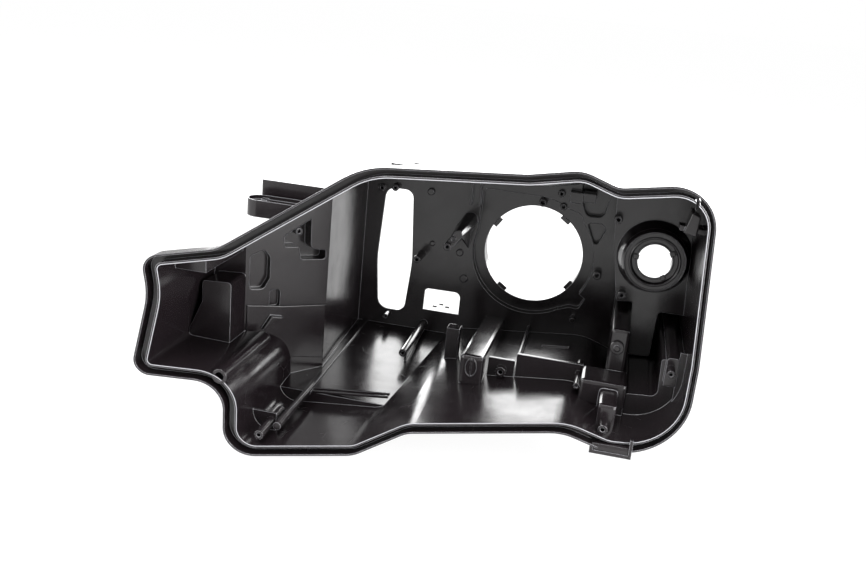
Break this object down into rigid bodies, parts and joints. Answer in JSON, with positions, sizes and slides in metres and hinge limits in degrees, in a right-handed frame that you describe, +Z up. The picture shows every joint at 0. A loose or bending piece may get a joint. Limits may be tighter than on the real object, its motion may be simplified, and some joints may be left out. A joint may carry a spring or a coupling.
{
  "type": "headlamp housing",
  "caption": "Bare injection moulded housing of a car headlamp, open at the front with a glue channel around the mouth and round openings in its back.",
  "frame": {"origin": "on the axis of the main round opening, in the plane of the front face of its seat", "axes": "+X along the back plate towards the small round opening, +Y rearwards out of the main round opening, +Z up"},
  "size_m": [0.5043, 0.3607, 0.2993],
  "materials": {
    "housing": "black moulded polypropylene, smooth"
  },
  "bodies": {
    "root": {"headlamp_housing": "housing"}
  },
  "joints": []
}
